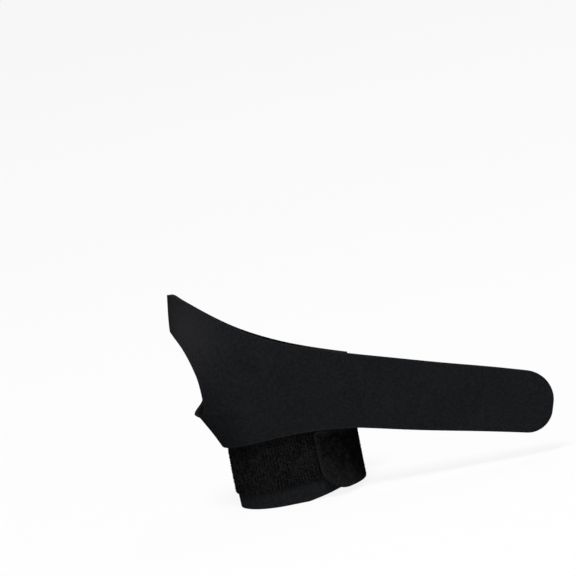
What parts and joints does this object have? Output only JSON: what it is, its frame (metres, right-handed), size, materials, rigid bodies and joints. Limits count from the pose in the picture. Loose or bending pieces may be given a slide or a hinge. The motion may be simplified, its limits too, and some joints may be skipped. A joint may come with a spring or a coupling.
{
  "type": "wrist support brace",
  "caption": "Left-hand wrist brace of soft foam laminate: oval wrist cuff with loop pile, hand wrap with a thumb hole, closure tab and long wrap-round strap.",
  "frame": {"origin": "middle of the cuff's lower opening, on the plane that the brace stands on", "axes": "+Z runs along the wrist towards the fingers, +X towards the little-finger side where the strap hangs free, -Y is the palm side"},
  "size_m": [0.1558, 0.0454, 0.0997],
  "materials": {
    "face_knit": "matte fine knit bonded to foam, near black",
    "lining_knit": "soft fine knit against the skin, near black",
    "foam_core": "closed-cell rubber foam, cut edge",
    "loop_pile": "ribbed loop pile, deep black",
    "tab_pile": "brushed plush pile, deep black",
    "hook_plastic": "moulded nylon hooks on a backing tape, black"
  },
  "bodies": {
    "root": {"cuff_lining": "lining_knit", "cuff_foam": "foam_core", "cuff_face": "face_knit", "cuff_loop_panel": "loop_pile", "wrap_lining": "lining_knit", "wrap_foam": "foam_core", "wrap_face": "face_knit", "tab_root_face": "tab_pile", "tab_root_foam": "foam_core", "tab_root_lining": "lining_knit"},
    "tab": {"tab_end_face": "tab_pile", "tab_end_foam": "foam_core", "tab_end_lining": "lining_knit", "tab_hook_patch": "hook_plastic"},
    "strap_root": {"strap_root_face": "face_knit", "strap_root_foam": "foam_core", "strap_root_lining": "lining_knit"},
    "strap_end": {"strap_end_face": "face_knit", "strap_end_foam": "foam_core", "strap_end_lining": "lining_knit", "strap_hook_patch": "hook_plastic"}
  },
  "joints": [
    {"name": "tab_peel", "type": "hinge", "parent": "root", "child": "tab", "pos_m": [0.02131, -0.01581, 0.01455], "axis": [0, 0, 1], "range_deg": [0, 90]},
    {"name": "strap_root_fold", "type": "hinge", "parent": "root", "child": "strap_root", "pos_m": [0.0345, -0.02143, 0.0424], "axis": [0.2639, 0, 0.9646], "range_deg": [-60, 90]},
    {"name": "strap_end_fold", "type": "hinge", "parent": "strap_root", "child": "strap_end", "pos_m": [0.0808, -0.02143, 0.02973], "axis": [0.2639, 0, 0.9646], "range_deg": [-60, 90]}
  ]
}
